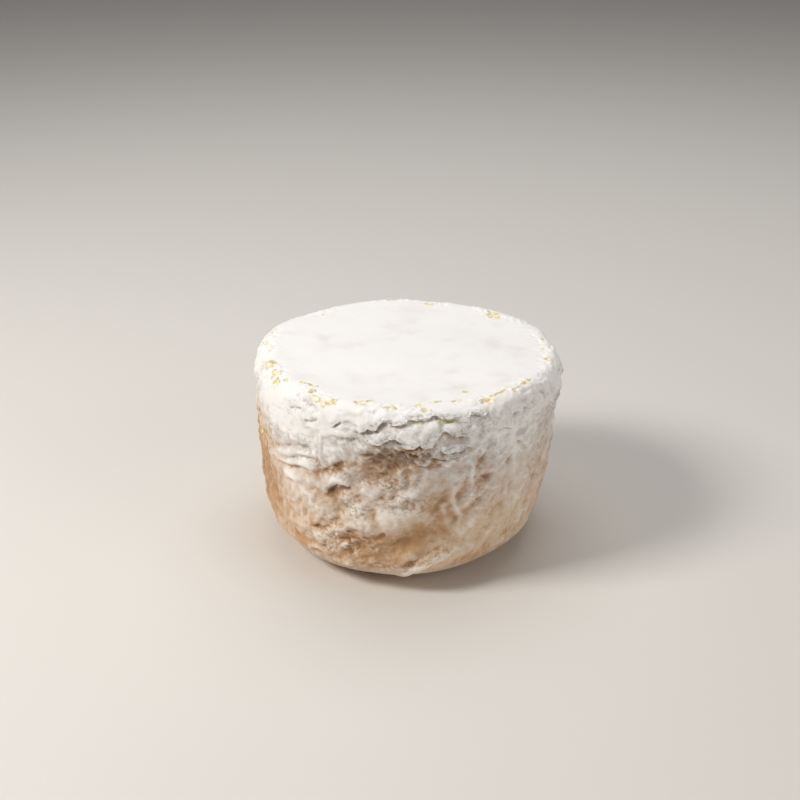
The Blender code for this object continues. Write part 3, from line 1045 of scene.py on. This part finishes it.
@dataclass
class TornBloom:
    """Thin flaps of bloom that have come loose along the ledges, standing off the rind under them."""

    surface: Surface
    bloom: Values
    seed: int
    step: float = 0.42 * MM
    thickness: float = 0.28 * MM
    crumple: float = 0.22 * MM
    rooted: Path = ((2.3, -0.30), (1.5, -0.04), (0.8, 0.12))
    hanging: Path = ((0.25, 0.20), (0.6, 0.36), (0.9, 0.50), (1.15, 0.58))
    normals: Values = field(init=False)
    tree: kdtree.KDTree = field(init=False)

    def __post_init__(self) -> None:
        """Sorts the surface's points, so that a spot on it is found fast."""
        surface = self.surface
        smooth = [surface.averaged(surface.normals[:, axis], 5) for axis in range(3)]
        self.normals = unit(np.stack(smooth, axis=1))
        self.tree = kdtree.KDTree(len(surface.places))
        for index, spot in enumerate(self.unrolled(surface.azimuth, surface.share)):
            self.tree.insert(spot, index)
        self.tree.balance()

    def unrolled(self, azimuth: Values, share: Values) -> Values:
        """Places on a plain cylinder that stand for places on the wheel."""
        plan = self.surface.spread * np.array([np.cos(azimuth), np.sin(azimuth)])
        return np.stack([*plan, share * self.surface.height], axis=1)

    def build(self, ledges: list[Stroke]) -> Piece:
        """Makes the flaps of every ledge, as one piece.

        Args:
            ledges: The ledges, each with its proud side on the left of its path.

        Returns:
            The finished piece.
        """
        flaps = [self.flap(ledge, Grain(self.seed + index)) for index, ledge in enumerate(ledges)]
        bpy.ops.object.select_all(action="DESELECT")
        for flap in flaps:
            flap.select_set(True)
        bpy.context.view_layer.objects.active = flaps[0]
        bpy.ops.object.join()
        piece = bpy.context.object
        piece.name = piece.data.name = "torn_bloom"
        WheelRind.apply(piece, "SOLIDIFY", thickness=self.thickness, offset=-1)
        bpy.ops.object.shade_smooth()
        return piece

    def anchors(self, azimuth: Values, share: Values) -> tuple[Values, Values, Values]:
        """Reads the rind at a row of spots.

        Args:
            azimuth: The azimuth of each spot, in radians.
            share: The share of each spot.

        Returns:
            The place and the normal of the rind at each, and how thick its bloom lies there.
        """
        places, normals, bloom = [], [], []
        for spot in self.unrolled(azimuth, share):
            found = self.tree.find_n(spot, 6)
            index = [item[1] for item in found]
            weight = np.array([1 / (item[2] + 0.2 * MM) ** 2 for item in found])
            weight /= weight.sum()
            places.append(weight @ self.surface.places[index])
            normals.append(weight @ self.normals[index])
            bloom.append(weight @ self.bloom[index])
        places, normals = np.array(places), np.array(normals)
        for _ in range(2):
            places[1:-1] = 0.25 * places[:-2] + 0.5 * places[1:-1] + 0.25 * places[2:]
        return places, unit(normals), np.array(bloom)

    def flap(self, ledge: Stroke, grain: Grain) -> Piece:
        """One ragged flap along a ledge.

        Args:
            ledge: The ledge.
            grain: The noise that tears its edge.

        Returns:
            The flap, still an open sheet.
        """
        line = Hand(self.surface).flattened(ledge.path)
        lengths = np.concatenate([[0], np.cumsum(np.linalg.norm(np.diff(line, axis=0), axis=1))])
        count = max(6, int(lengths[-1] / self.step))
        spots = np.linspace(0, lengths[-1], count)
        x, y = (np.interp(spots, lengths, line[:, axis]) for axis in (0, 1))
        run = unit(np.stack([np.gradient(x), np.gradient(y)], axis=1))
        start = math.radians(ledge.path[0][0])
        taper = 0.12 + 0.88 * ease(0, 0.15, spots / spots[-1]) * ease(1, 0.85, spots / spots[-1])
        samples = np.stack([spots / MM, np.zeros(count), np.zeros(count)], axis=1)
        tears = 0.75 + 0.5 * grain.layered(samples / 1.5 + 0.3, 2) + 0.7 * grain.at(samples / 4.2 + 7.7)
        hang = np.clip(tears, 0.15, None) * (0.25 + 0.55 * ledge.relief) * taper
        lift = (0.5 + 0.35 * grain.at(samples / 5.0 + 3.1)) * ledge.relief * taper
        rows = []
        for up, off in self.rooted:
            places, normals, bloom = self.anchors(
                start + (x - run[:, 1] * up * taper * MM) / self.surface.spread,
                (y + run[:, 0] * up * taper * MM) / self.surface.height,
            )
            rows.append(places + normals * (off * MM))
        along = np.gradient(places, axis=0)
        down = unit(np.cross(along, normals))
        for fall, off in self.hanging:
            reach = (fall * hang)[:, None] * MM + 0.5 * MM * taper[:, None]
            rows.append(places + down * reach + normals * (0.1 + off * lift)[:, None] * MM)
        rows = np.array(rows)
        crumple = grain.layered(rows.reshape(-1, 3) / (1.6 * MM), 2).reshape(rows.shape[:2])
        loose = ease(0, 0.5, np.linspace(0, 1, len(rows)))[:, None]
        rows += normals * (self.crumple * crumple * loose)[..., None]
        return self.sheet(rows, y / self.surface.height, bloom, grain)

    def sheet(self, rows: Values, share: Values, bloom: Values, grain: Grain) -> Piece:
        """A grid whose points are laid on rows of places, with its coats painted.

        Args:
            rows: The places, one row for each line along the flap, from its root to its edge.
            share: The share of each spot along it.
            bloom: How thick the bloom lies at its root, at each spot along it.
            grain: The noise of its coats.

        Returns:
            The sheet.
        """
        across, along = rows.shape[0], rows.shape[1]
        bpy.ops.mesh.primitive_grid_add(x_subdivisions=along - 1, y_subdivisions=across - 1, size=1)
        piece = bpy.context.object
        mesh = piece.data
        corners = Surface.vectors(mesh.vertices, "co") + 0.5
        column = np.rint(corners[:, 0] * (along - 1)).astype(int)
        row = across - 1 - np.rint(corners[:, 1] * (across - 1)).astype(int)
        places = rows[row, column]
        mesh.vertices.foreach_set("co", places.astype(np.float32).ravel())
        mesh.update()
        edge = row / (across - 1)
        thick = 0.15 + bloom[column] * (1 - 0.3 * edge) + 0.35 * edge
        thick += 0.25 * grain.layered(places / (3 * MM), 2)
        values = {
            Coat.BLOOM: np.clip(thick, 0, 1),
            Coat.HOLLOW: np.full(len(places), 0.25),
            Coat.PASTE: np.zeros(len(places)),
            Coat.SHARE: share[column],
            Coat.CRUMBLE: np.full(len(places), 0.8),
        }
        for coat, value in values.items():
            paint(mesh, coat, value)
        return piece


class Recipe:
    """A material's nodes, added one by one."""

    def __init__(self, name: str) -> None:
        """Starts a material with its shader.

        Args:
            name: The material's name.
        """
        self.material = bpy.data.materials.new(name)
        self.material.use_nodes = True
        self.tree = self.material.node_tree
        self.shader = self.tree.nodes["Principled BSDF"]

    def node(self, kind: str, inputs: Inputs | None = None, **settings: object) -> bpy.types.Node:
        """Adds a node.

        Args:
            kind: The node's type, without "ShaderNode".
            inputs: Its input sockets, each with a value or with the output that feeds it.
            settings: Its own settings.

        Returns:
            The node.
        """
        made = self.tree.nodes.new("ShaderNode" + kind)
        for name, value in settings.items():
            setattr(made, name, value)
        for name, value in (inputs or {}).items():
            self.feed(made.inputs[name], value)
        return made

    def feed(self, socket: Socket, value: object) -> None:
        """Gives a socket its value.

        Args:
            socket: The socket.
            value: An output to be linked to it, or a plain value.
        """
        if isinstance(value, Socket):
            self.tree.links.new(value, socket)
        else:
            socket.default_value = value

    def coat(self, coat: Coat) -> Socket:
        """The output that reads a painted layer."""
        return self.node("Attribute", attribute_name=coat.value).outputs["Fac"]

    def object_points(self) -> Socket:
        """The output that gives the place on the object."""
        return self.node("TexCoord").outputs["Object"]

    def noise(self, size: float, detail: float = 3.0, **inputs: float) -> Socket:
        """Adds a noise.

        Args:
            size: How far across its patches are, in metres.
            detail: How many finer layers it has.
            inputs: Its other inputs.

        Returns:
            Its value.
        """
        values = {"Vector": self.object_points(), "Scale": 1 / size, "Detail": detail}
        values |= {name.capitalize(): value for name, value in inputs.items()}
        return self.node("TexNoise", values).outputs["Fac"]

    def ramp(self, value: object, low: float, high: float) -> Socket:
        """A smooth step of a value from low to high."""
        values = {"Value": value, "From Min": low, "From Max": high}
        return self.node("MapRange", values, interpolation_type="SMOOTHSTEP").outputs["Result"]

    def sums(self, operation: str, first: object, second: object) -> Socket:
        """The outcome of a sum with two numbers."""
        return self.node("Math", {0: first, 1: second}, operation=operation).outputs[0]

    def times(self, first: object, second: object) -> Socket:
        """The first number times the second."""
        return self.sums("MULTIPLY", first, second)

    def plus(self, first: object, second: object) -> Socket:
        """The first number and the second together."""
        return self.sums("ADD", first, second)

    def less(self, first: object, second: object) -> Socket:
        """The first number less the second."""
        return self.sums("SUBTRACT", first, second)

    def mix(self, part: object, first: object, second: object, blend: str = "MIX") -> Socket:
        """Mixes two colours.

        Args:
            part: How much of the second is taken, from 0 to 1.
            first: The first colour.
            second: The second colour.
            blend: How they are mixed.

        Returns:
            The mixed colour.
        """
        made = self.node("Mix", data_type="RGBA", blend_type=blend)
        for socket, value in zip((made.inputs[0], made.inputs[6], made.inputs[7]), (part, first, second)):
            self.feed(socket, value)
        return made.outputs[2]


@dataclass(frozen=True)
class RindFinish:
    """The rind's finish: velvety white bloom over beige skin, with straw-yellow paste at the rim."""

    # The _low colours take over towards the foot: partly the rind's own tan, partly painted warm bounce
    # light.
    bloom: Colour = tint(250, 246, 241)
    bloom_low: Colour = tint(246, 231, 215)
    thin_bloom: Colour = tint(222, 214, 207)
    thin_low: Colour = tint(225, 198, 170)
    skin: Colour = tint(201, 172, 147)
    skin_low: Colour = tint(204, 161, 119)
    # The deep colours lie in the hollows, and shade is multiplied over the small recesses: partly the tan of
    # the hollows, partly painted shade.
    deep_skin: Colour = tint(150, 122, 98)
    deep_low: Colour = tint(166, 120, 74)
    shade: Colour = tint(214, 211, 209)
    # furrow is painted shade, multiplied into the fine creases.
    furrow: Colour = tint(186, 174, 158)
    curd: Colour = tint(250, 245, 228)
    paste: Colour = tint(240, 228, 184)
    amber: Colour = tint(228, 190, 134)
    olive: Colour = tint(206, 190, 134)
    sheen: float = 0.25

    def material(self) -> bpy.types.Material:
        """Makes the rind's material.

        Returns:
            The material.
        """
        recipe = Recipe("bloomy_rind")
        bloom, hollow, share = (recipe.coat(coat) for coat in (Coat.BLOOM, Coat.HOLLOW, Coat.SHARE))
        wall = recipe.ramp(share, 1.06, 0.98)
        crinkle = self.crinkle(recipe)
        crumble = {"Value": recipe.coat(Coat.CRUMBLE), "To Min": 0.09, "To Max": 0.92}
        amount = recipe.times(wall, recipe.node("MapRange", crumble).outputs["Result"])
        # Fine creases of the crinkle get less bloom and a painted shade; its crests get more bloom, partly a
        # painted highlight.
        crease = recipe.times(recipe.ramp(crinkle, 0.14, -0.04), amount)
        crest = recipe.times(recipe.ramp(crinkle, 0.20, 0.50), amount)
        patches = recipe.noise(9 * MM, 4)
        specks = recipe.noise(1.6 * MM, 4)
        # Warmer towards the foot: partly the rind's own tan, partly painted warm bounce light.
        low = recipe.ramp(share, 0.80, 0.25)
        cover = recipe.less(bloom, recipe.times(wall, 0.55))
        cover = recipe.less(cover, 0.27)
        blotches = recipe.times(recipe.noise(3.6 * MM, 3), wall)
        for layer, weight in ((patches, 0.54), (blotches, 1.10), (crest, 0.65), (crease, -0.65)):
            cover = recipe.plus(cover, recipe.times(layer, weight))
        skin = recipe.mix(low, self.skin, self.skin_low)
        deep = recipe.mix(low, self.deep_skin, self.deep_low)
        # Browner skin in the hollows: partly its own tan, partly painted shade.
        skin = recipe.mix(recipe.ramp(hollow, 0.35, 0.95), skin, deep)
        thin = recipe.mix(low, self.thin_bloom, self.thin_low)
        colour = recipe.mix(recipe.ramp(cover, 0.0, 0.5), skin, thin)
        thick = recipe.mix(low, self.bloom, self.bloom_low)
        colour = recipe.mix(recipe.ramp(cover, 0.45, 0.95), colour, thick)
        # Painted shade, multiplied over the small recesses.
        nook_shade = recipe.times(recipe.ramp(hollow, 0.55, 1.0), 0.35)
        colour = recipe.mix(nook_shade, colour, self.shade, "MULTIPLY")
        colour = recipe.mix(recipe.times(crease, 0.55), colour, self.furrow, "MULTIPLY")
        colour = self.worn(recipe, colour, specks)
        recipe.feed(recipe.shader.inputs["Base Color"], colour)
        recipe.feed(recipe.shader.inputs["Normal"], self.bumps(recipe, crinkle, amount))
        rough = recipe.node("MapRange", {"Value": specks, "To Min": 0.68, "To Max": 0.90}).outputs["Result"]
        recipe.feed(recipe.shader.inputs["Roughness"], rough)
        settings = {
            "Sheen Weight": self.sheen,
            "Sheen Roughness": 0.55,
            "Specular IOR Level": 0.35,
            "Subsurface Weight": 0.12,
            "Subsurface Scale": 2.0 * MM,
        }
        for name, value in settings.items():
            recipe.shader.inputs[name].default_value = value
        recipe.shader.inputs["Subsurface Radius"].default_value = (1.0, 0.75, 0.5)
        return recipe.material

    def worn(self, recipe: Recipe, colour: object, specks: object) -> Socket:
        """Lets the straw-yellow paste show where the bloom is worn off.

        Args:
            recipe: The recipe that the nodes go in.
            colour: The colour of the bloom and the skin.
            specks: A noise of small patches.

        Returns:
            The colour with the paste in it.
        """
        worn = recipe.coat(Coat.PASTE)
        ragged = recipe.less(recipe.noise(2.4 * MM, 4, roughness=0.6), 0.5)
        ragged = recipe.times(ragged, recipe.ramp(worn, 0.02, 0.30))
        worn = recipe.plus(worn, recipe.times(ragged, 1.6))
        inner = recipe.mix(recipe.ramp(specks, 0.42, 0.58), self.curd, self.paste)
        cores = recipe.ramp(recipe.noise(3.2 * MM), 0.44, 0.60)
        core = recipe.times(recipe.ramp(worn, 0.62, 0.95), cores)
        inner = recipe.mix(core, inner, self.amber)
        colour = recipe.mix(recipe.ramp(worn, 0.28, 0.60), colour, inner)
        line = recipe.times(recipe.ramp(worn, 0.24, 0.40), recipe.ramp(worn, 0.74, 0.46))
        line = recipe.times(line, recipe.ramp(recipe.noise(1.9 * MM), 0.40, 0.62))
        return recipe.mix(line, colour, self.olive)

    @staticmethod
    def crinkle(recipe: Recipe) -> Socket:
        """Makes the wrinkles too fine for the mesh: small pillows with creases between them.

        Args:
            recipe: The recipe that the nodes go in.

        Returns:
            Their height.
        """
        points = recipe.node("Mapping", {"Vector": recipe.object_points(), "Scale": (1, 1, 1.5)}).outputs[0]
        folds = {"Vector": points, "Scale": 1 / (3.4 * MM), "Detail": 4, "Roughness": 0.6, "Distortion": 0.7}
        pillow = recipe.less(recipe.node("TexNoise", folds).outputs["Fac"], 0.5)
        pillow = recipe.times(recipe.sums("ABSOLUTE", pillow, 0), 2)
        grit = recipe.less(recipe.noise(1.2 * MM, 3), 0.5)
        return recipe.plus(pillow, recipe.times(grit, 0.45))

    @staticmethod
    def bumps(recipe: Recipe, crinkle: Socket, amount: Socket) -> Socket:
        """The crumple and velvet too fine for the mesh.

        Args:
            recipe: The recipe that the nodes go in.
            crinkle: The height of the wrinkles.
            amount: How strong they are.

        Returns:
            The normal output.
        """
        first = recipe.node("Bump", {"Strength": amount, "Distance": 0.8 * MM, "Height": crinkle})
        velvet = {"Strength": 0.22, "Distance": 0.12 * MM, "Height": recipe.noise(0.45 * MM, 3)}
        return recipe.node("Bump", velvet | {"Normal": first.outputs[0]}).outputs[0]


@dataclass(frozen=True)
class Softbox:
    """One soft square light."""

    name: str
    place: tuple[float, float, float]
    size: float
    power: float
    colour: tuple[float, float, float] = (1.0, 1.0, 1.0)


@dataclass
class Studio:
    """A plain pale floor, soft lights, and the camera."""

    lens: float = 60.75
    pitch: float = 24.67
    eye: tuple[float, float, float] = (-0.0030, -0.4478, 0.2555)
    lights: tuple[Softbox, ...] = (
        Softbox("overhead", (0.05, 0.30, 0.90), 0.8, 3.45),
        Softbox("key", (-0.60, -0.24, 0.62), 0.26, 5.2, (1.0, 0.985, 0.96)),
        Softbox("fill", (0.95, -0.55, 0.38), 0.8, 2.8, (1.0, 0.975, 0.94)),
    )

    def build(self) -> None:
        """Sets up the floor, the lights, the surroundings and the camera."""
        self.lay_floor()
        for light in self.lights:
            self.hang(light)
        self.surround()
        self.aim()

    def lay_floor(self) -> None:
        """Lays a plain pale floor."""
        bpy.ops.object.select_all(action="DESELECT")
        bpy.ops.mesh.primitive_plane_add(size=8, location=(0, 0, 0))
        floor = bpy.context.object
        floor.name = "floor"
        recipe = Recipe("pale_floor")
        recipe.shader.inputs["Base Color"].default_value = tint(226, 221, 214)
        recipe.shader.inputs["Roughness"].default_value = 0.9
        floor.data.materials.append(recipe.material)

    def hang(self, light: Softbox) -> None:
        """Hangs a softbox so that it faces the wheel.

        Args:
            light: The softbox.
        """
        lamp = bpy.data.lights.new(light.name, "AREA")
        lamp.size = light.size
        lamp.energy = light.power
        lamp.color = light.colour
        holder = bpy.data.objects.new(light.name, lamp)
        holder.location = light.place
        towards = Vector((0, 0, 0.035)) - Vector(light.place)
        holder.rotation_euler = towards.to_track_quat("-Z", "Y").to_euler()
        bpy.context.scene.collection.objects.link(holder)

    def surround(self) -> None:
        """Surrounds the studio with even, pale light."""
        world = bpy.data.worlds.new("studio")
        world.use_nodes = True
        background = world.node_tree.nodes["Background"]
        background.inputs["Color"].default_value = tint(228, 229, 232)
        background.inputs["Strength"].default_value = 0.21
        bpy.context.scene.world = world
        bpy.context.scene.view_settings.view_transform = "Standard"

    def aim(self) -> None:
        """Sets up the camera, a little above the wheel and in front of it."""
        lens = bpy.data.cameras.new("camera")
        lens.lens = self.lens
        lens.sensor_width = 36
        lens.clip_start = 0.01
        camera = bpy.data.objects.new("camera", lens)
        camera.location = self.eye
        camera.rotation_euler = (math.radians(90 - self.pitch), 0, 0)
        bpy.context.scene.collection.objects.link(camera)
        bpy.context.scene.camera = camera


def main() -> None:
    """Builds the wheel and the studio, and hands the wheel to the frame."""
    logging.basicConfig(level=logging.INFO, format="%(message)s")
    Studio().build()
    rind, flaps = WheelRind().build()
    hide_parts(NODE)
    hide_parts(NODE)
    for piece in (rind, flaps):
        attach(piece, "root")
        triangles = sum(len(face.vertices) - 2 for face in piece.data.polygons)
        log.info("%s: %d triangles", piece.name, triangles)


if __name__ == "__main__":
    main()
